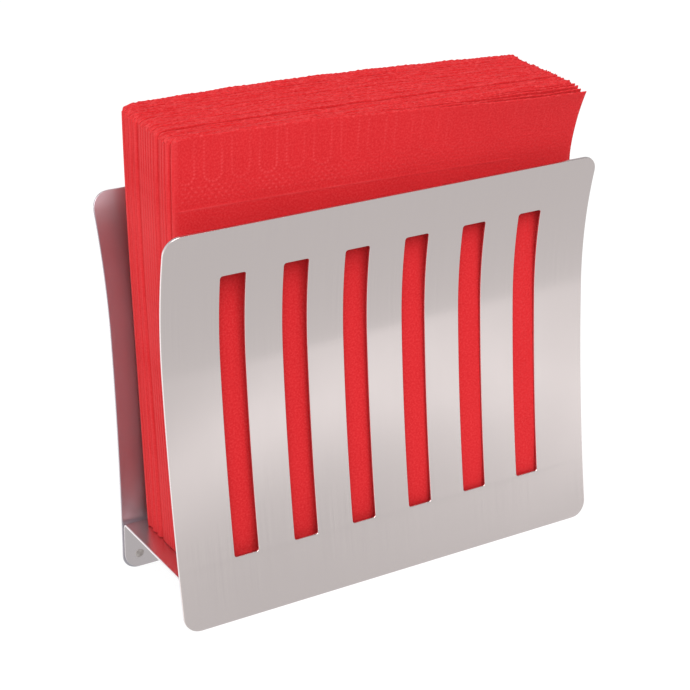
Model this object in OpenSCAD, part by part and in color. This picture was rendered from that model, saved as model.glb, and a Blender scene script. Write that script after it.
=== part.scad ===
// Upright napkin dispenser: two bowed sheet-steel panels, spot-welded to a folded tray that carries
// the floor between them, and a stack of folded paper napkins that stand in the bay.
// Millimetres. X runs along the panels, Y from the front panel to the rear one, Z is up.
// The origin is the middle of the footprint, on the surface that the panels stand on.

/* [Panels] */
// Width of each panel
panel_w = 180; // [150:1:240]
// Height of each panel
panel_h = 153; // [145:1:180]
// Thickness of the steel sheet, for the panels and the tray
sheet_t = 1; // [0.8:0.1:1.5]
// Radius of the panels' four corners
corner_r = 6.5; // [4:0.5:9]

/* [Bow of the panels] */
// Height of the waist, where the two panels are nearest each other
waist_z = 99; // [90:1:110]
// Clear gap between the panels at the waist
waist_gap = 45.2; // [44:0.2:70]
// Radius of the long, slow curve from the waist down, on the outer face
lower_r = 850; // [700:10:1500]
// Radius of the short curve from the waist up, on the outer face
upper_r = 163; // [150:1:250]

/* [Slots] */
// Number of slots in each panel
slot_count = 6; // [2:1:6]
// Width of a slot
slot_w = 10; // [6:0.5:14]
// Distance from one slot's middle to the next
slot_pitch = 25; // [20:0.5:26]
// Height of the slots' lower ends
slot_low_z = 24.5; // [24:0.5:40]
// Height of the slots' upper ends
slot_high_z = 134; // [115:0.5:138]
// Radius of the slots' corners
slot_corner_r = 1; // [0.5:0.1:2]

/* [Base tray] */
// Height of the floor's top face
floor_z = 21.6; // [18:0.2:30]
// Inside radius of the bends between the floor and its flanges
bend_r = 1.5; // [1:0.1:3]
// How far the tray's ends stop short of the panels' edges
tray_inset = 0.5; // [0:0.1:3]
// Gap between the flanges' lower edges and the surface
flange_low_z = 0.6; // [0.2:0.1:3]
// Radius of the flanges' lower corners
flange_corner_r = 7; // [5:0.5:9]

/* [Spot welds] */
// Number of welds along each flange
weld_count = 3; // [2:1:5]
// Diameter of a weld's nugget
weld_d = 3.6; // [3:0.1:6]
// Distance from a flange's end to the middle of its first weld
weld_end = 6; // [5:0.5:20]
// Height of the welds
weld_z = 6.6; // [5:0.1:12]
// Depth of the electrode's dent in a nugget
weld_dent = 0.15; // [0.05:0.05:0.3]

/* [Napkins] */
// Number of napkins in the stack
napkin_count = 20; // [1:1:20]
// Side of a napkin folded in four
napkin_side = 165; // [150:1:170]
// Thickness of a folded napkin
napkin_t = 1.7; // [1.4:0.05:1.75]
// Distance from one napkin's middle to the next
napkin_pitch = 1.93; // [1.8:0.01:1.95]
// How far each napkin is turned in plan, in degrees, its left end towards the rear panel
napkin_turn = 2.1; // [0:0.1:2.3]
// How far the front napkin stands to the right of the middle
stack_x = 1.3; // [-6:0.1:6]
// How much further left each napkin stands than the one in front of it
napkin_slip = 0.07; // [0:0.01:0.2]
// Gap under the napkins
napkin_rest_gap = 0.1; // [0.05:0.05:0.3]

/* [Hidden] */
$fn = 96;
over = 1; // how far a cutting shape runs past what it cuts

steel_grey = [0.76, 0.74, 0.73];
weld_grey = [0.55, 0.53, 0.53];
napkin_red = [0.88, 0.16, 0.19];

half_gap = waist_gap / 2;
panel_y = half_gap + sheet_t; // the outer face at the waist
lower_c = panel_y + lower_r; // distance of the lower curve's centre from the middle plane
upper_c = panel_y + upper_r;
max_y = panel_y + sheet_t + upper_r; // beyond the outer face everywhere

// The flange lies on the panel's inner face, on the same centre as the panel's lower curve.
flange_outer_r = lower_r + sheet_t;
flange_inner_r = flange_outer_r + sheet_t;
tray_w = panel_w - 2 * tray_inset;

// The bend's centre is inside both the floor and the flange by the inside radius.
bend_z = floor_z - sheet_t - bend_r;
bend_y = lower_c - sqrt(pow(flange_inner_r + bend_r, 2) - pow(waist_z - bend_z, 2));
// How far the flange leans from upright where the bend ends
bend_lean = asin((waist_z - bend_z) / (flange_inner_r + bend_r));

// The nugget reaches through the flange and halfway into the panel.
nugget_outer_r = flange_outer_r - sheet_t / 2;
weld_span = tray_w - 2 * weld_end;

napkin_ids = [for (i = [1 : napkin_count]) str("napkin_", i < 10 ? "0" : "", i)];

// A rectangle with rounded corners, made of two crossed bars and four discs.
module rounded_rect(w, h, r) {
    translate([-w / 2 + r, 0]) square([w - 2 * r, h]);
    translate([-w / 2, r]) square([w, h - 2 * r]);
    for (x = [-w / 2 + r, w / 2 - r], z = [r, h - r])
        translate([x, z]) circle(r);
}

// Turns a side profile drawn in Y and Z into a bar of the given width, centred on X.
module along_x(w) {
    rotate([90, 0, 90]) translate([0, 0, -w / 2]) linear_extrude(w) children();
}

// Turns an outline drawn in X and Z into a block from the middle plane to beyond the front panel.
module through_front(depth = max_y) {
    rotate([90, 0, 0]) linear_extrude(depth) children();
}

// The stretch of a ring about a point in front of the object, between two heights.
module front_ring(centre, r_outer_face, thickness, low, high) {
    intersection() {
        difference() {
            translate([-centre, waist_z]) circle(r_outer_face + thickness, $fn = 360);
            translate([-centre, waist_z]) circle(r_outer_face, $fn = 360);
        }
        translate([-max_y, low]) square([max_y, high - low]);
    }
}

// The front panel seen from its end: a slow curve up to the waist and a tighter one above it.
// It runs past the panel's lower and upper edges, which the panel's outline then cuts.
module panel_profile() {
    front_ring(lower_c, lower_r, sheet_t, -over, waist_z);
    front_ring(upper_c, upper_r, sheet_t, waist_z, panel_h + over);
}

module slots() {
    for (i = [0 : slot_count - 1])
        translate([(i - (slot_count - 1) / 2) * slot_pitch, slot_low_z])
            rounded_rect(slot_w, slot_high_z - slot_low_z, slot_corner_r);
}

// The front panel as a solid, with the shallow pockets that the weld nuggets fill.
module panel_solid() {
    difference() {
        intersection() {
            along_x(panel_w) panel_profile();
            through_front() rounded_rect(panel_w, panel_h, corner_r);
        }
        through_front() slots();
        weld_nuggets(0);
    }
}

// The front half of the tray seen from its end: half the floor, a bend and a flange.
module tray_profile() {
    translate([-bend_y, floor_z - sheet_t]) square([bend_y + over, sheet_t]);
    translate([-bend_y, bend_z]) intersection() {
        difference() {
            circle(bend_r + sheet_t);
            circle(bend_r);
        }
        // A wedge from the end of the floor round to the top of the flange.
        polygon([
            [0, 0],
            [0, 2 * floor_z],
            [-2 * floor_z, 2 * floor_z],
            [-2 * floor_z * cos(bend_lean), -2 * floor_z * sin(bend_lean)]]);
    }
    intersection() {
        front_ring(lower_c, flange_outer_r, sheet_t, -over, floor_z);
        // Everything below the line from the bend's centre to the curve's centre.
        polygon([
            [0, -2 * over],
            [0, bend_z + bend_y * tan(bend_lean)],
            [-max_y, bend_z - (max_y - bend_y) * tan(bend_lean)],
            [-max_y, -2 * over]]);
    }
}

// The tray's outline from the front, with its lower corners rounded.
module tray_outline() {
    translate([0, flange_low_z]) intersection() {
        rounded_rect(tray_w, 2 * floor_z, flange_corner_r);
        translate([-tray_w / 2, 0]) square([tray_w, floor_z]);
    }
}

module tray_half() {
    difference() {
        intersection() {
            along_x(tray_w) tray_profile();
            translate([0, over, 0]) through_front(max_y + over) tray_outline();
        }
        weld_nuggets(0);
    }
}

// The nuggets that join the front flange to the front panel, each a plug with a dent in its face.
module weld_nuggets(dent) {
    intersection() {
        along_x(panel_w)
            front_ring(lower_c, nugget_outer_r, flange_inner_r - nugget_outer_r - dent, 0, floor_z);
        for (i = [0 : weld_count - 1])
            translate([(i / (weld_count - 1) - 0.5) * weld_span, 0, weld_z])
                rotate([90, 0, 0]) cylinder(d = weld_d, h = max_y);
    }
}

module front_panel() {
    color(steel_grey) panel_solid();
}

module rear_panel() {
    color(steel_grey) mirror([0, 1, 0]) panel_solid();
}

module base_tray() {
    color(steel_grey) {
        tray_half();
        mirror([0, 1, 0]) tray_half();
    }
}

module front_spot_welds() {
    color(weld_grey) weld_nuggets(weld_dent);
}

module rear_spot_welds() {
    color(weld_grey) mirror([0, 1, 0]) weld_nuggets(weld_dent);
}

// One folded napkin, counted from the front. It stands on edge on the floor, turned a little in plan.
module napkin(i) {
    y = (i - (napkin_count - 1) / 2) * napkin_pitch;
    color(napkin_red)
        translate([stack_x - i * napkin_slip, y, floor_z + napkin_rest_gap])
            rotate([0, 0, -napkin_turn])
                translate([-napkin_side / 2, -napkin_t / 2, 0])
                    cube([napkin_side, napkin_t, napkin_side]);
}

front_panel();
rear_panel();
base_tray();
front_spot_welds();
rear_spot_welds();
for (i = [0 : napkin_count - 1]) napkin(i);
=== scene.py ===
"""The looks of an upright steel napkin dispenser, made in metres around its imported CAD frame.

The steel is bent from flat blanks, as the real sheets are, and each napkin is one thin sheet folded in four.
"""

import math

import bpy
import numpy as np
from mathutils import Matrix, Vector


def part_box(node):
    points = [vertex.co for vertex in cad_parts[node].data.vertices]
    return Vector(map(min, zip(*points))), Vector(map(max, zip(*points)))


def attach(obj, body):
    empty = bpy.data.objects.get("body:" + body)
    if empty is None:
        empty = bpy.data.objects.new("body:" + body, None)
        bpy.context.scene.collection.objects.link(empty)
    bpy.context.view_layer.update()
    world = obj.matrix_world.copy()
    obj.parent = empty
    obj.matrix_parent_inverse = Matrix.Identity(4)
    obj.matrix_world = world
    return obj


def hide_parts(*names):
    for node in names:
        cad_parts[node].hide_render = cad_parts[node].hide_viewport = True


MM = 0.001

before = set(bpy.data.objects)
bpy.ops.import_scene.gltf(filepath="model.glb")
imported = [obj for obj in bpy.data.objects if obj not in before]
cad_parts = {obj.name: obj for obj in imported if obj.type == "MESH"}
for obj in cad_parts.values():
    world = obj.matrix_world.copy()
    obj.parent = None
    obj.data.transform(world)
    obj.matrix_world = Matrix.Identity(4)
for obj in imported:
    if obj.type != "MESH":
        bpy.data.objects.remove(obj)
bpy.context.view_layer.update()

# ---------------------------------------------------------------- sizes, from the frame

front_low, front_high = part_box("front_panel")
tray_low, tray_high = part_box("base_tray")

PANEL_W = front_high.x - front_low.x
PANEL_H = front_high.z - front_low.z
SHEET_T = 1.0 * MM
CORNER_R = 6.5 * MM
WAIST_Z = 99.0 * MM
LOWER_R = 850.0 * MM
UPPER_R = 163.0 * MM
PANEL_Y = -front_high.y + SHEET_T  # the outer face at the waist, from the middle plane

SLOT_COUNT = 6
SLOT_W = 10.0 * MM
SLOT_PITCH = 25.0 * MM
SLOT_LOW_Z = 24.5 * MM
SLOT_HIGH_Z = 134.0 * MM
SLOT_R = 1.0 * MM

FLOOR_Z = tray_high.z
BEND_R = 1.5 * MM
FLANGE_CORNER_R = 7.0 * MM

EDGE_R = 0.25 * MM  # the tumbled edge of every sheet
EDGE_STEPS, CORNER_STEPS, SLOT_CORNER_STEPS, BEND_STEPS = 3, 10, 5, 8  # facets round each kind of curve
ROW_GAP = 2.5 * MM  # the most between two rows of a curved sheet
ROUNDING = 1e-9  # the most that rounding may put between two lengths that are the same
PANEL_DULLNESS_AND_SHADE = (0.0, 1.0)  # the bright outer face, and the duller inner one that painted shade darkens
# the tray all over: somewhat duller, and somewhat darkened by painted shade
TRAY_DULLNESS_AND_SHADE = (0.4, 0.4)

MARK_STEPS = 40  # points round a weld's electrode mark
MARK_PROFILE = ((1.04, -0.05), (1.0, 0.02), (0.93, 0.09), (0.84, 0.115), (0.74, 0.09), (0.64, 0.045),
                (0.5, 0.03), (0.25, 0.025))  # share of the mark's radius, and millimetres above the flange
MARK_MIDDLE = 0.022 * MM  # how far the dish's middle stands above the flange

NAPKINS = sorted(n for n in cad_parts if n.startswith("napkin_"))
NAPKIN_CUT = 330.0 * MM  # a whole napkin's side
FOLDED = NAPKIN_CUT / 2
LEAF_GAP = 0.47 * MM  # between the middles of two leaves
TISSUE_T = 0.36 * MM
stack_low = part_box(NAPKINS[0])[0]


# ---------------------------------------------------------------- mesh helpers

def new_object(name, vertices, faces, uvs=None, dull_and_shaded=None):
    """A smooth-shaded mesh object, with a UV and a dullness, which also sets painted shade, for each vertex
    where they are given.
    """
    mesh = bpy.data.meshes.new(name)
    mesh.from_pydata([tuple(v) for v in vertices], [], [tuple(f) for f in faces])
    mesh.shade_smooth()
    if uvs is not None:
        layer = mesh.uv_layers.new(name="sheet")
        corners = np.zeros(len(mesh.loops), np.int32)
        mesh.loops.foreach_get("vertex_index", corners)
        layer.data.foreach_set("uv", np.asarray(uvs, np.float32)[corners].ravel())
    if dull_and_shaded is not None:
        attribute = mesh.attributes.new("dull_and_shaded", "FLOAT", "POINT")
        attribute.data.foreach_set("value", np.asarray(dull_and_shaded, np.float32))
    obj = bpy.data.objects.new(name, mesh)
    bpy.context.scene.collection.objects.link(obj)
    return obj


def grid_faces(rows, columns):
    """The quads of a full grid whose vertices are numbered row by row."""
    i, j = np.meshgrid(np.arange(rows - 1), np.arange(columns - 1), indexing="ij")
    a = (i * columns + j).ravel()
    return np.stack([a, a + 1, a + columns + 1, a + columns], axis=1)


def ring_faces(start, rings, steps):
    """The quads between rings of steps vertices each, numbered ring by ring from start."""
    return [
        (start + r * steps + k, start + r * steps + (k + 1) % steps,
         start + (r + 1) * steps + (k + 1) % steps, start + (r + 1) * steps + k)
        for r in range(rings - 1) for k in range(steps)]


# ---------------------------------------------------------------- sheet metal

def arc_steps(radius, steps):
    """Distances from a straight edge of the points along a quarter-round corner."""
    return [radius * (1 - math.cos(math.radians(90 * k / steps))) for k in range(steps + 1)]


def spaced_rows(keys, gap):
    """The key heights in order, with more between them so that no two are further apart than gap."""
    keys = sorted(set(round(k, 7) for k in keys))
    rows = [keys[0]]
    for low, high in zip(keys, keys[1:]):
        count = max(1, math.ceil((high - low) / gap))
        rows += [low + (high - low) * (k + 1) / count for k in range(count)]
    return rows


def round_end(s, low, high, radius):
    """How far a rounded rectangle's side has drawn in at s, and the side's outward normal there."""
    for corner, way in ((low + radius, -1), (high - radius, 1)):
        into = (s - corner) * way
        if into > 0:
            into = min(into, radius)
            side = math.sqrt(radius * radius - into * into)
            return radius - side, (side / radius, way * into / radius)
    return 0.0, (1.0, 0.0)


def cut_blank(width, low, high, corner_r, slots, more_rows):
    """A flat blank as a grid of (x, s), less the width of its rounded edge.

    slots are (middle, low, high). Returns the grid's points, each boundary point's outward normal, and
    the cells that are metal.
    """
    low, high, corner_r = low + EDGE_R, high - EDGE_R, corner_r - EDGE_R
    half, slot_r = width / 2 - EDGE_R, SLOT_R + EDGE_R
    # rows at the facets of the corners and the slots' ends, and others evenly between them
    keys = [low, high] + list(more_rows)
    for d in arc_steps(corner_r, CORNER_STEPS):
        keys += [low + d, high - d]
    if slots:
        _, slot_low, slot_high = slots[0]  # the slots all have the same ends
        for d in arc_steps(slot_r, SLOT_CORNER_STEPS):
            keys += [slot_low - EDGE_R + d, slot_high + EDGE_R - d]
    rows = spaced_rows([k for k in keys if low - ROUNDING <= k <= high + ROUNDING], ROW_GAP)
    # along each row: the left side, each slot's two edges and the right side
    points, normals, metal = [], {}, []
    for i, s in enumerate(rows):
        drawn_in, (nx, ns) = round_end(s, low, high, corner_r)
        at_end = i in (0, len(rows) - 1)
        end_normal = (0.0, -1.0 if i == 0 else 1.0)
        xs = [-half + drawn_in]
        normals[i, 0] = (-nx, ns)
        for middle, slot_low, slot_high in slots:
            slot_low, slot_high = slot_low - EDGE_R, slot_high + EDGE_R
            inside = slot_low - ROUNDING <= s <= slot_high + ROUNDING
            pulled, (mx, ms) = round_end(min(max(s, slot_low), slot_high), slot_low, slot_high, slot_r)
            reach = SLOT_W / 2 + EDGE_R - pulled
            for side in (-1, 1):
                xs.append(middle + side * reach)
                if inside:
                    normals[i, len(xs) - 1] = (-side * mx, -ms)
                elif at_end:
                    normals[i, len(xs) - 1] = end_normal
        xs.append(half - drawn_in)
        normals[i, len(xs) - 1] = (nx, ns)
        points.append([(x, s) for x in xs])
        if i:
            between = (rows[i - 1] + s) / 2
            open_columns = {
                1 + 2 * k for k, (_, a, b) in enumerate(slots) if a - EDGE_R < between < b + EDGE_R}
            metal += [(i - 1, j) for j in range(len(xs) - 1) if j not in open_columns]
    return points, normals, metal


def bend_sheet(name, blank, place, dullness_and_shade):
    """Turns a blank into a closed sheet with rounded edges.

    place(s) gives a row's (y, z) and the (y, z) direction from the show face into the metal. dullness is
    that of the show face and of the other face, and also how much painted shade darkens each.
    """
    points, normals, metal = blank
    vertices, uvs, dull_and_shaded, index, faces = [], [], [], {}, []

    def vertex(i, j, out, depth):
        key = (i, j, round(out, 9), round(depth, 9))
        if key not in index:
            x, s = points[i][j]
            if out:
                nx, ns = normals[i, j]
                x, s = x + out * nx, s + out * ns
            (y, z), (dy, dz) = place(s)
            index[key] = len(vertices)
            vertices.append((x, y + depth * dy, z + depth * dz))
            uvs.append((x, s))
            # past its first rounding, an edge's wall takes the other face's dullness, and with it that face's
            # painted shade
            dull_and_shaded.append(dullness_and_shade[depth > EDGE_R])
        return index[key]

    # the rounded edge, as (how far out from the blank, depth) from the show face to the other face
    turns = [math.radians(90 * k / EDGE_STEPS) for k in range(EDGE_STEPS + 1)]
    rings = [(EDGE_R * math.sin(a), EDGE_R * (1 - math.cos(a))) for a in turns]
    rings += [(out, SHEET_T - depth) for out, depth in reversed(rings)]
    cells = set(metal)
    for i, j in metal:
        corners = [(i, j), (i, j + 1), (i + 1, j + 1), (i + 1, j)]
        faces.append([vertex(*c, 0.0, 0.0) for c in corners])
        faces.append([vertex(*c, 0.0, SHEET_T) for c in reversed(corners)])
        beside = [(i - 1, j), (i, j + 1), (i + 1, j), (i, j - 1)]
        for k, cell in enumerate(beside):
            if cell in cells:
                continue
            a, b = corners[k], corners[(k + 1) % 4]
            for (out, depth), (next_out, next_depth) in zip(rings, rings[1:]):
                faces.append([
                    vertex(*b, out, depth), vertex(*a, out, depth),
                    vertex(*a, next_out, next_depth), vertex(*b, next_out, next_depth)])
    obj = new_object(name, vertices, faces, uvs, dull_and_shaded)
    flat = obj.modifiers.new("flat_faces_stay_flat", "WEIGHTED_NORMAL")
    flat.mode, flat.weight = "FACE_AREA", 100
    return obj


def panel_place(side):
    """The bow of a panel, on the front (side -1) or the rear (side 1)."""
    def place(z):
        radius = UPPER_R if z > WAIST_Z else LOWER_R
        centre = PANEL_Y + radius
        rise = z - WAIST_Z
        run = math.sqrt(radius * radius - rise * rise)
        return (side * (centre - run), z), (-side * run / radius, rise / radius)
    return place


def panel(name, side):
    """A slotted panel, bowed, with its show face outwards."""
    slots = [((k - (SLOT_COUNT - 1) / 2) * SLOT_PITCH, SLOT_LOW_Z, SLOT_HIGH_Z) for k in range(SLOT_COUNT)]
    blank = cut_blank(PANEL_W, 0.0, PANEL_H, CORNER_R, slots, [WAIST_Z])
    obj = bend_sheet(name, blank, panel_place(side), PANEL_DULLNESS_AND_SHADE)
    if side > 0:
        obj.data.flip_normals()
    return obj


def tray(name):
    """The folded tray: up the front flange, round its bend, over the floor and down at the rear."""
    outer_r = LOWER_R + SHEET_T
    curve_y = PANEL_Y + LOWER_R
    bend_z = FLOOR_Z - SHEET_T - BEND_R
    bend_y = curve_y - math.sqrt((outer_r + SHEET_T + BEND_R) ** 2 - (WAIST_Z - bend_z) ** 2)
    lean = math.asin((WAIST_Z - bend_z) / (outer_r + SHEET_T + BEND_R))
    start = math.asin((WAIST_Z - tray_low.z) / outer_r)
    flange_run = outer_r * (start - lean)
    bend_run = (BEND_R + SHEET_T) * (math.pi / 2 - lean)
    half_run = flange_run + bend_run + bend_y

    def place(s):
        side = -1 if s < half_run else 1
        s = s if s < half_run else 2 * half_run - s
        if s < flange_run:
            turn = start - s / outer_r
            y, z = curve_y - outer_r * math.cos(turn), WAIST_Z - outer_r * math.sin(turn)
            into = (-math.cos(turn), -math.sin(turn))
        elif s < flange_run + bend_run:
            turn = lean + (s - flange_run) / (BEND_R + SHEET_T)
            into = (-math.cos(turn), -math.sin(turn))
            y, z = (c - (BEND_R + SHEET_T) * d for c, d in zip((bend_y, bend_z), into))
        else:
            y, z, into = half_run - s, FLOOR_Z, (0.0, -1.0)
        return (side * y, z), (side * into[0], into[1])

    bend_rows = [flange_run + bend_run * k / BEND_STEPS for k in range(BEND_STEPS + 1)]
    rows = bend_rows + [2 * half_run - s for s in bend_rows]
    blank = cut_blank(tray_high.x - tray_low.x, 0.0, 2 * half_run, FLANGE_CORNER_R, [], rows)
    return bend_sheet(name, blank, place, TRAY_DULLNESS_AND_SHADE)


def weld_marks(name, side):
    """Three round electrode marks on a flange's inner face, each a raised rim about a shallow dish."""
    low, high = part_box("rear_spot_welds")
    mark_r = (high.z - low.z) / 2
    first_x = low.x + mark_r
    face_r = LOWER_R + 2 * SHEET_T
    turn = math.asin((WAIST_Z - (low.z + high.z) / 2) / face_r)
    curve_y = PANEL_Y + LOWER_R
    out = Vector((0.0, -side * math.cos(turn), -math.sin(turn)))
    across, up = Vector((1.0, 0.0, 0.0)), Vector((0.0, -side * math.sin(turn), math.cos(turn)))
    middle = Vector((0.0, side * (curve_y - face_r * math.cos(turn)), WAIST_Z - face_r * math.sin(turn)))
    vertices, faces, uvs = [], [], []
    for x in (first_x, 0.0, -first_x):
        start = len(vertices)
        for ring, height in MARK_PROFILE:
            for k in range(MARK_STEPS):
                angle = 2 * math.pi * k / MARK_STEPS
                # not quite round, and each mark in its own way
                lobe = 1 + 0.03 * math.sin(3 * angle + 60 * x) + 0.02 * math.sin(5 * angle)
                reach = ring * mark_r * lobe
                a, b = reach * math.cos(angle), reach * math.sin(angle)
                vertices.append(middle + across * (x + a) + up * b + out * height * MM)
                uvs.append((x + a, b))
        vertices.append(middle + across * x + out * MARK_MIDDLE)
        uvs.append((x, 0.0))
        faces += ring_faces(start, len(MARK_PROFILE), MARK_STEPS)
        last = start + (len(MARK_PROFILE) - 1) * MARK_STEPS
        faces += [(last + k, last + (k + 1) % MARK_STEPS, len(vertices) - 1) for k in range(MARK_STEPS)]
    obj = new_object(name, vertices, faces, uvs)
    if side > 0:
        obj.data.flip_normals()
    return obj


# ---------------------------------------------------------------- folded napkins

FOLD_STEPS, FIRST_FOLD_STEPS = 12, 6  # facets round the second fold, and round the first at the bottom
COLUMN_GAP = 0.8 * MM
EMBOSSED_GAP = 0.4 * MM  # rows and columns of the two outer napkins, close enough to hold the dots
TOP_ROWS = (0.0, 0.35, 0.75, 1.2, 1.8, 2.6, 3.8, 5.5, 8.0, 12.0, 18.0, 27.0, 36.0, 46.0, 56.0, 66.0, 80.0,
            110.0, 148.0, 158.0, 162.0)  # millimetres below a napkin's top edge

# The stack went in by handfuls.
GROUPS = (1, 4, 8, 2, 2, 3)  # napkins in each, from the front
GROUP_GAP = 0.35 * MM
GROUP_SLIP, NAPKIN_SLIP = 0.35 * MM, 0.08 * MM  # how far left or right of its place each may stand
GROUP_LIFT, NAPKIN_LIFT = 0.3 * MM, 0.15 * MM  # and how far above or below

# The folded edges, at the left.
SQUARENESS = 0.3  # 1 is a round fold, less is a flatter one
FOLD_OUT = 1.3 * MM  # how far the folds reach past the CAD's front slab
FIRST_IN, LAST_IN = 0.4 * MM, 0.8 * MM  # how much less the first and the last napkin's do
END_RECESS = 1.4 * MM  # how far in a handful's first and last folds are pushed
SHOULDER, SHOULDER_MOST = 0.75 * MM, 1.2  # how soon that eases off inside the handful, and its most
RECESS_FADE = 2.5 * MM  # and how soon it eases off to the right
CORNER_DROP, CORNER_ACROSS, CORNER_DOWN = 1.7 * MM, 1.5 * MM, 4.0 * MM  # the rounding of their top corners

# The cut edges, at the top.
TOP_FRONT, TOP_STEP = 184.0 * MM, 3.0 * MM  # the front napkin's top left, and how much higher the rear's
TOP_FALL_FRONT, TOP_FALL_BACK = 3.4 * MM, 3.8 * MM  # how much lower a napkin's top is at its right end
TOP_CROWN = 1.7 * MM  # how far the rear napkin's top rises in its middle
LEAF_LIFT = 0.28 * MM  # how far a leaf's cut edge may be above or below its napkin's
RIPPLE_FADE = 2.5 * MM  # how soon the ripples of the cut edges ease off downwards
# Ripples: their wavelengths in millimetres, and their height
CUT_SWAY, LEAF_SWAY = ((2.1, 2.9, 4.3, 7.0), 0.16 * MM), ((28, 45), 0.04 * MM)  # to and fro
CUT_RAGGED, CUT_WAVY = ((1.9, 2.7, 3.9), 0.24 * MM), ((17, 31), 0.25 * MM)  # up and down

# How the stack stands between the panels.
STACK_BACK = 0.8 * MM  # how far its left end stands behind the middle
STACK_TURN = 2.7 * MM  # how much further forward its right end stands
STACK_WAVE = 0.5 * MM  # how far it bends to and fro along its length
LEAN_FRONT, LEAN_BACK = 5.2 * MM, 2.6 * MM  # how far the front and the rear napkin lean forward
LEAN_FROM, LEAN_RISE, LEAN_POWER = 105.0 * MM, 80.0 * MM, 2.3  # where it starts, and is whole further up
BULGE_FRONT, BULGE_BACK = 2.4 * MM, 0.6 * MM  # how far it swells below the waist
BULGE_DROP = 60.0 * MM  # how far below the waist it is at its widest

# The front napkin's top right corner, which fans out and curls forward.
CURLS = (4.9, 1.1, 3.7, 2.4)  # millimetres: the front and back leaf of half A, then of half B
CURL_FROM_X, CURL_RUN = -40.0 * MM, 130.0 * MM
CURL_FROM_Z, CURL_RISE, CURL_MOST, CURL_POWER = 150.0 * MM, 30.0 * MM, 2.0, 1.6
CURL_OUT = 1.2 * MM  # how far the front leaf's corner reaches to the right

# The embossed border: arches of dots, a lattice of dots and a line, measured in from the cut edge.
EMBOSS_H = 0.09 * MM
DOT_R, DOT_GAP = 0.38 * MM, 1.3 * MM
ARCH_PITCH, ARCH_HALF = 10.6 * MM, 3.4 * MM  # from one arch to the next, and half an arch's width
ARCH_TOP, ARCH_LOW = 2.2 * MM, 14.0 * MM  # the ends of an arch's straight legs
LATTICE_LOW, LATTICE_HIGH = 19.0 * MM, 23.5 * MM
BORDER_LINE = 27.0 * MM
LINE_R, LINE_SHARE = 0.35 * MM, 0.7  # the line's width, and its height as a share of a dot's


def smooth(t):
    """0 below 0, 1 above 1 and an even slope between."""
    t = np.clip(t, 0.0, 1.0)
    return t * t * (3 - 2 * t)


def fold_path(runs, steps):
    """(distance from the fold, cosine, sine) down one side of a fold, round it and up the other."""
    turns = [math.radians(180 * k / steps - 90) for k in range(1, steps)]
    path = [(run, 0.0, -1.0) for run in reversed(runs)]
    path += [(0.0, math.cos(a), math.sin(a)) for a in turns]
    path += [(run, 0.0, 1.0) for run in runs]
    return np.array(path).T


def ripple(rng, x, waves, height):
    """A sum of sines along x, with wavelengths (and so shapes) drawn from waves."""
    total = np.zeros_like(x)
    for wave in waves:
        length = wave * rng.uniform(0.85, 1.15) * MM
        total += rng.uniform(0.6, 1.0) * np.sin(2 * np.pi * x / length + rng.uniform(0, 2 * np.pi))
    return height * total / len(waves)


def embossed_dots():
    """The middles of the embossed dots along one edge, as (distance along it, distance in from it)."""
    dots = []
    for k in range(int(FOLDED / ARCH_PITCH) + 1):
        middle = (k + 0.5) * ARCH_PITCH
        count = round((ARCH_LOW - ARCH_TOP) / DOT_GAP)
        for j in range(count + 1):
            depth = ARCH_TOP + (ARCH_LOW - ARCH_TOP) * j / count
            dots += [(middle - ARCH_HALF, depth), (middle + ARCH_HALF, depth)]
        turns = round(math.pi * ARCH_HALF / DOT_GAP)
        for j in range(1, turns):
            angle = math.pi * j / turns
            dots.append((middle - ARCH_HALF * math.cos(angle), ARCH_LOW + ARCH_HALF * math.sin(angle)))
    rows = round((LATTICE_HIGH - LATTICE_LOW) / DOT_GAP)
    for i in range(rows + 1):
        depth = LATTICE_LOW + (LATTICE_HIGH - LATTICE_LOW) * i / rows
        for j in range(int(FOLDED / (2 * DOT_GAP))):
            dots.append(((2 * j + i % 2) * DOT_GAP, depth))
    return dots


def embossing(along, depth):
    """The height of the embossed border at each point of a leaf."""
    relief = np.zeros_like(along)
    for x, d in embossed_dots():
        near = (abs(along - x) < 2.5 * DOT_R) & (abs(depth - d) < 2.5 * DOT_R)
        relief[near] += np.exp(-((along[near] - x) ** 2 + (depth[near] - d) ** 2) / (DOT_R * DOT_R))
    ends = smooth((FOLDED - BORDER_LINE - along) / (3 * MM))
    relief += LINE_SHARE * ends * np.exp(-((depth - BORDER_LINE) / LINE_R) ** 2)
    return EMBOSS_H * np.minimum(relief, 1.0)


def napkin_place(number):
    """The number of a napkin's handful, and the y of its own middle and of the handful's front and back."""
    group = next(g for g in range(len(GROUPS)) if number < sum(GROUPS[:g + 1]))
    first = sum(GROUPS[:group])
    last = first + GROUPS[group] - 1

    def middle(n):
        low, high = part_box(NAPKINS[n])
        return (low.y + high.y) / 2 + GROUP_GAP * (group - (len(GROUPS) - 1) / 2)

    half_pitch = (middle(1) - middle(0)) / 2
    return group, middle(number), middle(first) - half_pitch, middle(last) + half_pitch


def napkin_grid(embossed):
    """The points of a sheet folded in four, as six arrays with its rows and columns.

    Along the rows: the distance from the second fold, and the cosine and sine of the turn round it. Up the
    columns: the height, the sine of the turn round the first fold, and -1 on half A or 1 on half B.
    """
    columns = round(FOLDED / (EMBOSSED_GAP if embossed else COLUMN_GAP))
    runs = [FOLDED * k / columns for k in range(columns + 1)]
    depths = [d * MM for d in TOP_ROWS]
    if embossed:  # close rows to just past the border's line
        fine = [EMBOSSED_GAP * k for k in range(int((BORDER_LINE + 2 * MM) / EMBOSSED_GAP) + 1)]
        depths = sorted(fine + [d for d in depths if d > BORDER_LINE + 3 * MM])
    heights = [0.0] + [FOLDED - d for d in reversed(depths)]
    along, up = fold_path(runs, FOLD_STEPS), fold_path(heights, FIRST_FOLD_STEPS)
    shape = (up.shape[1], along.shape[1])
    return [np.broadcast_to(a, shape) for a in along] + [np.broadcast_to(a[:, None], shape) for a in up]


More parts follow.
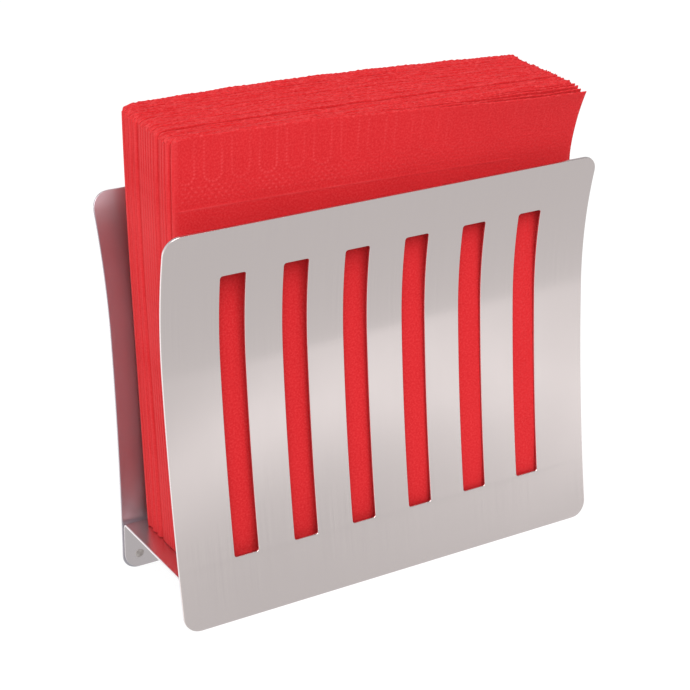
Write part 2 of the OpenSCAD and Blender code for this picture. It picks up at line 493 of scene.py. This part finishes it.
def stand_in_stack(x, y, z, back):
    """The y of each point once the stack bends, swells and leans. back is 0 in front and 1 at the rear."""
    across = (x - stack_low.x) / FOLDED
    y = y + STACK_BACK - STACK_TURN * across + STACK_WAVE * np.sin(2 * np.pi * across)
    y = y + (BULGE_BACK * back - BULGE_FRONT * (1 - back)) * smooth((WAIST_Z - z) / BULGE_DROP)
    lean = LEAN_FRONT + (LEAN_BACK - LEAN_FRONT) * back
    return y - lean * (np.clip(z - LEAN_FROM, 0, None) / LEAN_RISE) ** LEAN_POWER


def curl_corner(x, y, z, leaves):
    """Fans out the leaves of the front napkin and curls them forward at their top right corner."""
    curl = smooth((x - CURL_FROM_X) / CURL_RUN)
    curl = curl * np.clip((z - CURL_FROM_Z) / CURL_RISE, 0, CURL_MOST) ** CURL_POWER
    reach = sum(leaf * far for leaf, far in zip(leaves, CURLS))
    dip = 0.4 * reach + 0.02 * reach ** 2  # a leaf's edge comes down as it bends over
    return x + CURL_OUT * leaves[0] * curl, y - reach * MM * curl, z - dip * MM * curl


def folded_napkin(name, number):
    """One sheet of tissue folded in four: its first fold is at the bottom, its second at the left.

    A is the half of the sheet that ends up outside, B the half inside it. number counts from the front.
    """
    last = len(NAPKINS) - 1
    back = number / last
    outermost = number in (0, last)
    group, middle_y, group_front, group_back = napkin_place(number)
    rng, group_rng = np.random.default_rng(1000 + number), np.random.default_rng(50 + group)
    run, turn_cos, turn_sin, rise, under_sin, inner = napkin_grid(outermost)
    depth = FOLDED - rise

    # the four leaves side by side, joined by folds that are squarer than round
    squared_cos = turn_cos ** SQUARENESS
    squared_sin = np.sign(turn_sin) * abs(turn_sin) ** SQUARENESS
    radius = LEAF_GAP * (1 - 0.5 * inner)
    left_x = stack_low.x - FOLD_OUT + 1.5 * LEAF_GAP + TISSUE_T / 2
    left_x += group_rng.uniform(-GROUP_SLIP, GROUP_SLIP) + rng.uniform(-NAPKIN_SLIP, NAPKIN_SLIP)
    left_x += {0: FIRST_IN, last: LAST_IN}.get(number, 0.0)
    x = left_x - radius * squared_cos + run * (1 - np.pi / 2 * LEAF_GAP / FOLDED)
    y = middle_y + radius * squared_sin
    shoulders = np.exp((group_front - y) / SHOULDER) + np.exp((y - group_back) / SHOULDER)
    x = x + END_RECESS * np.minimum(shoulders, SHOULDER_MOST) * np.exp(-run / RECESS_FADE)

    # how high the cut edges stand, which differs along the stack and from leaf to leaf
    across = (x - stack_low.x) / FOLDED
    top = TOP_FRONT + TOP_STEP * back - (TOP_FALL_FRONT + (TOP_FALL_BACK - TOP_FALL_FRONT) * back) * across
    top += TOP_CROWN * back * np.sin(np.pi * np.clip(across, 0, 1))
    top += group_rng.uniform(-GROUP_LIFT, GROUP_LIFT) + rng.uniform(-NAPKIN_LIFT, NAPKIN_LIFT)
    bottom = stack_low.z + TISSUE_T / 2
    z = bottom + LEAF_GAP / 2 * (1 - under_sin) + rise * (top - bottom) / FOLDED
    near_top = np.exp(-depth / RIPPLE_FADE)
    half_a, front = (1 - inner) / 2, (1 - squared_sin) / 2
    leaves = [half * side for half in (half_a, 1 - half_a) for side in (front, 1 - front)]
    for leaf in leaves:
        y = y + leaf * near_top * ripple(rng, x, *CUT_SWAY)
        y = y + leaf * ripple(rng, x, *LEAF_SWAY)
        ragged = ripple(rng, x, *CUT_RAGGED) + ripple(rng, x, *CUT_WAVY) + rng.uniform(-LEAF_LIFT, LEAF_LIFT)
        z = z + leaf * near_top * ragged
    corner = np.exp(-(x - x.min()) / CORNER_ACROSS)
    z = z - CORNER_DROP * corner * np.exp(-depth / CORNER_DOWN)

    y = stand_in_stack(x, y, z, back)
    if number == 0:
        x, y, z = curl_corner(x, y, z, leaves)
    if outermost:
        way, facing = (-1, front) if number == 0 else (1, 1 - front)
        y = y + way * embossing(run, depth) * facing * half_a * (run > 0)

    round_fold = radius * np.where(run > 0, 1.0, np.arcsin(abs(turn_sin)))
    along, down = np.sign(turn_sin) * (run + round_fold), -inner * rise
    vertices = np.stack([x, y, z], axis=-1).reshape(-1, 3)
    uvs = np.stack([along, down], axis=-1).reshape(-1, 2)
    obj = new_object(name, vertices, grid_faces(*run.shape), uvs)
    solid = obj.modifiers.new("tissue", "SOLIDIFY")
    solid.thickness, solid.offset = TISSUE_T, 0.0
    return obj


# ---------------------------------------------------------------- materials

class Nodes:
    """A node tree, built by short calls. Each returns an output socket, or a new node."""

    def __init__(self, tree):
        self.tree = tree

    def node(self, kind, inputs=(), **settings):
        node = self.tree.nodes.new(kind)
        for key, value in settings.items():
            setattr(node, key, value)
        for key, value in dict(inputs).items():
            if isinstance(value, bpy.types.NodeSocket):
                self.tree.links.new(value, node.inputs[key])
            else:
                node.inputs[key].default_value = value
        return node

    def math(self, operation, a, b=0.0, c=0.0):
        return self.node("ShaderNodeMath", {0: a, 1: b, 2: c}, operation=operation).outputs[0]

    def add(self, a, b):
        return self.math("ADD", a, b)

    def subtract(self, a, b):
        return self.math("SUBTRACT", a, b)

    def multiply(self, a, b):
        return self.math("MULTIPLY", a, b)

    def noise(self, vector, scale, detail=2.0, roughness=0.5):
        inputs = {"Vector": vector, "Scale": scale, "Detail": detail, "Roughness": roughness}
        return self.node("ShaderNodeTexNoise", inputs).outputs["Fac"]

    def scaled(self, vector, x, y):
        inputs = {"Vector": vector, "Scale": (x, y, 1.0)}
        return self.node("ShaderNodeMapping", inputs).outputs["Vector"]

    def split(self, vector):
        return self.node("ShaderNodeSeparateXYZ", {"Vector": vector}).outputs

    def spread(self, value, low, high, from_low=0.0, from_high=1.0):
        """low to high, as value goes between its own two ends, and no further."""
        inputs = {"Value": value, "From Min": from_low, "From Max": from_high, "To Min": low, "To Max": high}
        return self.node("ShaderNodeMapRange", inputs).outputs["Result"]

    def mix(self, factor, a, b):
        """Colour a where factor is 0, and b where it is 1."""
        node = self.node("ShaderNodeMix", {"Factor": factor}, data_type="RGBA")
        for socket, value in ((node.inputs[6], a), (node.inputs[7], b)):  # the colour sockets A and B
            if isinstance(value, bpy.types.NodeSocket):
                self.tree.links.new(value, socket)
            else:
                socket.default_value = (*value, 1.0)
        return node.outputs[2]

    def bump(self, height, strength, distance, under=None):
        inputs = {"Height": height, "Strength": strength, "Distance": distance}
        if under is not None:
            inputs["Normal"] = under
        return self.node("ShaderNodeBump", inputs).outputs["Normal"]

    def sheet_uv(self):
        return self.node("ShaderNodeUVMap", uv_map="sheet").outputs["UV"]

    def place(self):
        return self.node("ShaderNodeTexCoord").outputs["Object"]


class Surface(Nodes):
    """A new material, its node tree and its shader."""

    def __init__(self, name):
        self.material = bpy.data.materials.new(name)
        self.material.use_nodes = True
        super().__init__(self.material.node_tree)
        self.shader = self.tree.nodes["Principled BSDF"]

    def drive(self, **sockets):
        """Sets or links the shader's sockets, whose names have spaces for underscores."""
        for key, value in sockets.items():
            socket = self.shader.inputs[key.replace("_", " ")]
            if isinstance(value, bpy.types.NodeSocket):
                self.tree.links.new(value, socket)
            else:
                socket.default_value = value


def brushed_steel(name):
    """Sheet steel brushed up and down its blank, so highlights spread across it, duller inside, and darkened
    there to a purplish grey as painted shade.
    """
    m = Surface(name)
    uv = m.sheet_uv()
    streak = m.noise(m.scaled(uv, 3400, 22), 1.0, 3.0, 0.6)  # brush marks 0.3 mm wide and 45 mm long
    long_streak = m.noise(m.scaled(uv, 1300, 8), 1.0, 2.0)  # and 0.8 mm wide and 125 mm long
    cloud = m.noise(m.place(), 22.0, 3.0)  # patches about 45 mm across
    dull_and_shaded = m.node("ShaderNodeAttribute", attribute_name="dull_and_shaded").outputs["Fac"]
    tone = m.mix(m.spread(streak, 0.0, 1.0, 0.3, 0.7), (0.84, 0.758, 0.746), (0.875, 0.793, 0.78))
    tone = m.mix(m.spread(cloud, 0.0, 0.35), tone, (0.85, 0.77, 0.757))
    # painted shade: where the mesh marks it, on the inner faces and most of the edge walls, the tone is
    # darkened to a purplish grey
    tone = m.mix(dull_and_shaded, tone, (0.58, 0.56, 0.605))
    rough = m.add(m.spread(streak, 0.122, 0.146, 0.3, 0.7), m.spread(dull_and_shaded, 0.0, 0.17))
    rough = m.add(rough, m.spread(cloud, -0.012, 0.012, 0.3, 0.7))
    height = m.add(m.multiply(long_streak, 0.4), streak)
    tangent = m.node("ShaderNodeTangent", direction_type="UV_MAP", uv_map="sheet").outputs["Tangent"]
    m.drive(
        Base_Color=tone, Metallic=1.0, Roughness=rough, Anisotropic=0.88, Tangent=tangent,
        Normal=m.bump(height, 0.06, 0.00003))
    return m.material


def weld_steel(name):
    """Steel browned and roughened by the heat of a spot weld."""
    m = Surface(name)
    grain, heat = m.noise(m.place(), 2400.0, 3.0), m.noise(m.place(), 500.0, 2.0)
    tone = m.mix(m.spread(heat, 0.0, 1.0, 0.3, 0.7), (0.40, 0.345, 0.325), (0.66, 0.61, 0.59))
    m.drive(
        Base_Color=tone, Metallic=1.0, Roughness=m.spread(grain, 0.34, 0.52),
        Normal=m.bump(grain, 0.35, 0.00006))
    return m.material


def repeat(m, value, period):
    """How far value is from the nearest whole number of periods."""
    half = period / 2
    return m.subtract(m.math("FLOORED_MODULO", m.add(value, half), period), half)


def bell(m, a, b, width):
    """1 where a and b are both 0, falling away over width."""
    squares = m.add(m.multiply(a, a), m.multiply(b, b))
    return m.math("EXPONENT", m.math("DIVIDE", squares, -width * width))


def border_pattern(m, along, depth):
    """The embossed arches, lattice and line, 0 to 1, round all four edges of the whole napkin."""
    beside = m.math("ABSOLUTE", m.subtract(m.math("FLOORED_MODULO", along, ARCH_PITCH), ARCH_PITCH / 2))
    below = m.subtract(depth, ARCH_LOW)
    rounded = m.math("GREATER_THAN", below, 0.0)
    leg_gap = (ARCH_LOW - ARCH_TOP) / round((ARCH_LOW - ARCH_TOP) / DOT_GAP)
    legs = bell(m, m.subtract(beside, ARCH_HALF), repeat(m, below, leg_gap), DOT_R)
    legs = m.multiply(legs, m.math("GREATER_THAN", depth, ARCH_TOP - DOT_R))
    span = m.math("SQRT", m.add(m.multiply(beside, beside), m.multiply(below, below)))
    turn = math.pi / round(math.pi * ARCH_HALF / DOT_GAP)
    round_the_arch = m.multiply(repeat(m, m.math("ARCTAN2", below, beside), turn), ARCH_HALF)
    arch = bell(m, m.subtract(span, ARCH_HALF), round_the_arch, DOT_R)
    arches = m.add(m.multiply(arch, rounded), m.multiply(legs, m.subtract(1.0, rounded)))

    rows = round((LATTICE_HIGH - LATTICE_LOW) / DOT_GAP)
    row_gap = (LATTICE_HIGH - LATTICE_LOW) / rows
    within = m.subtract(depth, LATTICE_LOW)
    row = m.math("ROUND", m.math("DIVIDE", within, row_gap))
    off_row = m.subtract(within, m.multiply(row, row_gap))
    shifted = m.subtract(along, m.multiply(m.math("FLOORED_MODULO", row, 2.0), DOT_GAP))
    lattice = bell(m, off_row, repeat(m, shifted, 2 * DOT_GAP), DOT_R)
    off_middle = m.math("ABSOLUTE", m.subtract(row, rows / 2))
    lattice = m.multiply(lattice, m.math("LESS_THAN", off_middle, rows / 2 + 0.5))

    line = m.multiply(bell(m, m.subtract(depth, BORDER_LINE), 0.0, LINE_R), LINE_SHARE)
    return m.math("MINIMUM", m.add(m.add(arches, lattice), line), 1.0)


def tissue_paper(name):
    """Red three-ply tissue: matt, with pale fibres, a fine crepe and an embossed border."""
    m = Surface(name)
    uv = m.sheet_uv()
    u, v = (m.math("ABSOLUTE", m.split(uv)[axis]) for axis in ("X", "Y"))
    depth = m.subtract(FOLDED, m.math("MAXIMUM", u, v))  # in from the cut edges
    border = border_pattern(m, m.math("MINIMUM", u, v), depth)
    fibre = m.noise(m.scaled(uv, 1500, 2600), 1.0, 3.0, 0.6)
    crepe = m.noise(m.scaled(uv, 700, 3400), 1.0, 2.0)  # fine creases along the rows
    cloud = m.noise(uv, 60.0, 3.0)
    fold_highlight_streaks = m.noise(m.scaled(uv, 2600, 30), 1.0, 2.0)  # long streaks down the fold, which its painted highlight follows
    # flecks for the painted highlight on the cut edges
    cut_highlight_flecks = m.noise(m.place(), 620.0, 2.0, 0.6)
    grain = m.noise(uv, 1300.0, 2.0, 0.7)

    tone = m.mix(m.spread(cloud, 0.0, 1.0, 0.3, 0.7), (0.71, 0.0185, 0.0235), (0.74, 0.0205, 0.026))
    tone = m.mix(m.spread(fibre, 0.0, 0.35, 0.5, 0.8), tone, (0.82, 0.055, 0.062))
    tone = m.mix(m.spread(grain, 0.0, 0.5, 0.45, 0.8), tone, (0.85, 0.075, 0.08))
    tone = m.mix(m.spread(grain, 0.45, 0.0, 0.2, 0.5), tone, (0.60, 0.010, 0.014))

    # the embossing shows unevenly, less with distance from the folded edge, and not on the fold itself
    pressed = m.spread(m.noise(uv, 90.0, 1.0), 0.25, 0.75, 0.35, 0.65)
    pressed = m.multiply(pressed, m.spread(u, 1.0, 0.3, 40 * MM, 120 * MM))
    pressed = m.multiply(pressed, m.spread(u, 0.0, 1.0, 2 * MM, 4 * MM))
    tone = m.mix(m.multiply(border, pressed), tone, (0.84, 0.07, 0.077))

    # painted highlights: the fold is paler in streaks down it, and the cut edges are paler in flecks
    near_fold = m.spread(u, 1.0, 0.0, 0.8 * MM, 2.4 * MM)
    tone = m.mix(m.multiply(near_fold, m.spread(fold_highlight_streaks, 0.0, 0.45, 0.35, 0.65)), tone, (0.86, 0.085, 0.09))
    near_cut = m.spread(depth, 1.0, 0.0, 0.1 * MM, 0.9 * MM)
    tone = m.mix(m.multiply(near_cut, m.spread(cut_highlight_flecks, 0.0, 0.42, 0.5, 0.68)), tone, (0.92, 0.105, 0.11))

    height = m.add(fibre, m.multiply(crepe, 0.7))
    embossed = m.bump(border, 0.35, EMBOSS_H)
    m.drive(
        Base_Color=tone, Roughness=m.spread(fibre, 0.78, 0.96), Normal=m.bump(height, 0.5, 0.00012, embossed),
        Specular_IOR_Level=0.15, Sheen_Weight=0.2, Sheen_Roughness=0.5, Sheen_Tint=(1.0, 0.3, 0.3, 1.0))
    return m.material


def add_piece(obj, body, slot, material, *nodes):
    """Gives a piece its material and its body, and hides the CAD nodes that it stands for. Its slot is not
    used.
    """
    obj.data.materials.append(material)
    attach(obj, body)
    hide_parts(*nodes)


# ---------------------------------------------------------------- the dispenser

steel = brushed_steel("brushed_sheet_steel")
weld = weld_steel("weld_steel")
tissue = tissue_paper("napkin_tissue")

add_piece(panel("front_sheet", -1), "holder", "brushed_sheet_steel", steel, "front_panel")
add_piece(panel("rear_sheet", 1), "holder", "brushed_sheet_steel", steel, "rear_panel")
add_piece(tray("tray_sheet"), "holder", "brushed_sheet_steel", steel, "base_tray")
add_piece(weld_marks("front_weld_marks", -1), "holder", "weld_steel", weld, "front_spot_welds")
add_piece(weld_marks("rear_weld_marks", 1), "holder", "weld_steel", weld, "rear_spot_welds")

for number, node in enumerate(NAPKINS):
    napkin = folded_napkin(node.replace("napkin", "folded_napkin"), number)
    add_piece(napkin, node, "napkin_tissue", tissue, node)


# ---------------------------------------------------------------- stage, light and camera

STAGE_STEPS = 96  # points round the table and the wall
TABLE_PROFILE = ((0.3, 0.0), (0.9, 0.0), (2.5, 0.0), (2.9, 0.0), (3.0, -0.02), (3.02, -0.1))  # reach, height
WALL_PROFILE = ((2.6, -0.02), (3.0, 0.02), (3.2, 0.2), (3.3, 0.6), (3.3, 5.0))
TABLE_GLOW, WALL_GLOW = 0.93, 1.0  # the key light adds the rest on the table

# The room's bright band, in the x and z of the direction to it.
BAND_X, BAND_Z = 0.466, -0.3505  # the direction that the middle of the front panel's waist reflects
BAND_HALF, BAND_GLOW = 0.008, 0.63
BAND_SLOPE, BAND_CURVE = 0.278, 1.68  # how the band rises further to the side
BAND_FALL, BAND_RISE = -0.012, 0.05  # the most that it sinks and rises
TAIL_SHARE, TAIL_REACH = 0.155, 0.15  # how bright it is just below the band, and how far down it fades

KEY_PLACE, KEY_AIM = (-0.62, -2.25, 2.2), (0.0, 0.0, 0.1)
KEY_SIZE, KEY_WATTS = 2.6, 84.0

# The camera was fitted to the edges of the panels, slots, floor and napkins in the photograph.
CAMERA_AZIMUTH, CAMERA_ELEVATION, CAMERA_ROLL = -29.014, 20.770, -1.642  # degrees
CAMERA_AIM = (0.0, 0.0, 0.075)
CAMERA_BACK, CAMERA_RIGHT, CAMERA_UP = 0.70097, -0.00367, 0.02238  # from the aim, along its own axes
SENSOR_W, LENS_LENGTH, LENS_SHIFT_Y = 36.0, 94.733, -0.0507


def turned_points(profile):
    """Points round the vertical axis, ring by ring, with each ring's reach and height."""
    turns = [2 * math.pi * k / STAGE_STEPS for k in range(STAGE_STEPS)]
    return [(reach * math.cos(a), reach * math.sin(a), height) for reach, height in profile for a in turns]


def white_surface(name, scale, glow):
    """A material that is mostly its own white light, so that nothing shades it."""
    m = Surface(name)
    tone = m.mix(m.noise(m.place(), scale, 2.0), (0.12, 0.12, 0.12), (0.13, 0.13, 0.13))
    m.drive(Base_Color=tone, Roughness=0.9, Emission_Color=(1.0, 1.0, 1.0, 1.0), Emission_Strength=glow)
    return m.material


def table():
    """A round white table top with a turned-down rim, bright enough to burn out as in a product shot."""
    vertices = [(0.0, 0.0, 0.0)] + turned_points(TABLE_PROFILE)
    faces = [(0, 1 + k, 1 + (k + 1) % STAGE_STEPS) for k in range(STAGE_STEPS)]
    faces += [tuple(reversed(face)) for face in ring_faces(1, len(TABLE_PROFILE), STAGE_STEPS)]
    obj = new_object("table", vertices, faces)
    obj.data.materials.append(white_surface("white_table", 40.0, TABLE_GLOW))
    # the room, and not the burnt-out table, is what lights the object and shows in the steel
    obj.visible_glossy = obj.visible_diffuse = False


def backdrop():
    """A white wall far behind the table on every side, which only the camera sees."""
    faces = ring_faces(0, len(WALL_PROFILE), STAGE_STEPS)
    obj = new_object("backdrop", turned_points(WALL_PROFILE), faces)
    obj.data.materials.append(white_surface("white_wall", 3.0, WALL_GLOW))
    obj.visible_glossy = obj.visible_diffuse = obj.visible_transmission = obj.visible_shadow = False


def white_room():
    """A pale room: dim above the table, brighter below its level, brighter still at the left and behind.

    A soft band, whose light tails off downwards, is what the bowed steel shows as its highlights.
    """
    world = bpy.data.worlds.new("white_room")
    world.use_nodes = True
    m = Nodes(world.node_tree)
    towards = m.node("ShaderNodeTexCoord").outputs["Generated"]
    towards = m.node("ShaderNodeVectorMath", {0: towards}, operation="NORMALIZE").outputs["Vector"]
    x, y, z = (m.split(towards)[axis] for axis in ("X", "Y", "Z"))
    room = m.spread(z, 0.575, 0.4, -0.07, 0.07)  # brighter below
    room = m.multiply(room, m.spread(x, 1.6, 1.0, -0.9, 0.0))  # and to the left
    room = m.multiply(room, m.spread(y, 1.0, 1.7, 0.1, 0.8))  # and behind

    aside = m.subtract(m.math("ABSOLUTE", x), BAND_X)
    lift = m.multiply(aside, m.add(m.multiply(aside, BAND_CURVE), BAND_SLOPE))
    lift = m.math("MAXIMUM", m.math("MINIMUM", lift, BAND_RISE), BAND_FALL)
    above = m.subtract(m.subtract(z, BAND_Z), lift)
    off_band = m.math("DIVIDE", above, BAND_HALF)
    band = m.math("EXPONENT", m.multiply(m.multiply(off_band, off_band), -0.69))  # a half at BAND_HALF
    under = m.math("MAXIMUM", m.multiply(above, -1.0), 0.0)
    tail = m.math("EXPONENT", m.math("DIVIDE", under, -TAIL_REACH))
    tail = m.multiply(tail, m.spread(under, 0.0, TAIL_SHARE, 0.0, 0.01))
    band = m.add(band, tail)
    band = m.multiply(band, m.spread(aside, 0.35, 1.12, -0.18, -0.04))  # weaker in the middle
    band = m.multiply(band, m.spread(aside, 1.0, 1.35, 0.0, 0.06))  # and stronger to the sides

    background = m.tree.nodes["Background"]
    background.inputs["Color"].default_value = (1.0, 1.0, 1.0, 1.0)
    m.tree.links.new(m.add(room, m.multiply(band, BAND_GLOW)), background.inputs["Strength"])
    bpy.context.scene.world = world


def key_light():
    """A large soft light, in front of the dispenser and high above it."""
    lamp = bpy.data.lights.new("key", "AREA")
    lamp.shape, lamp.size, lamp.energy = "SQUARE", KEY_SIZE, KEY_WATTS
    obj = bpy.data.objects.new("key", lamp)
    obj.location = KEY_PLACE
    obj.rotation_euler = (Vector(KEY_AIM) - Vector(KEY_PLACE)).to_track_quat("-Z", "Y").to_euler()
    bpy.context.scene.collection.objects.link(obj)


def camera():
    """Looks down from the front left, as the photographer did."""
    azimuth, elevation, roll = map(math.radians, (CAMERA_AZIMUTH, CAMERA_ELEVATION, CAMERA_ROLL))
    out = math.cos(elevation)
    back = Vector((math.sin(azimuth) * out, -math.cos(azimuth) * out, math.sin(elevation)))
    right = Vector((0.0, 0.0, 1.0)).cross(back).normalized()
    up = back.cross(right)
    right, up = (
        math.cos(roll) * right + math.sin(roll) * up, -math.sin(roll) * right + math.cos(roll) * up)
    lens = bpy.data.cameras.new("camera")
    lens.sensor_width, lens.lens, lens.shift_y = SENSOR_W, LENS_LENGTH, LENS_SHIFT_Y
    obj = bpy.data.objects.new("camera", lens)
    place = Vector(CAMERA_AIM) + back * CAMERA_BACK + right * CAMERA_RIGHT + up * CAMERA_UP
    turn = Matrix((right, up, back)).transposed().to_4x4()
    obj.matrix_world = Matrix.Translation(place) @ turn
    bpy.context.scene.collection.objects.link(obj)
    bpy.context.scene.camera = obj


table()
backdrop()
white_room()
key_light()
camera()
bpy.context.scene.view_settings.view_transform = "Standard"
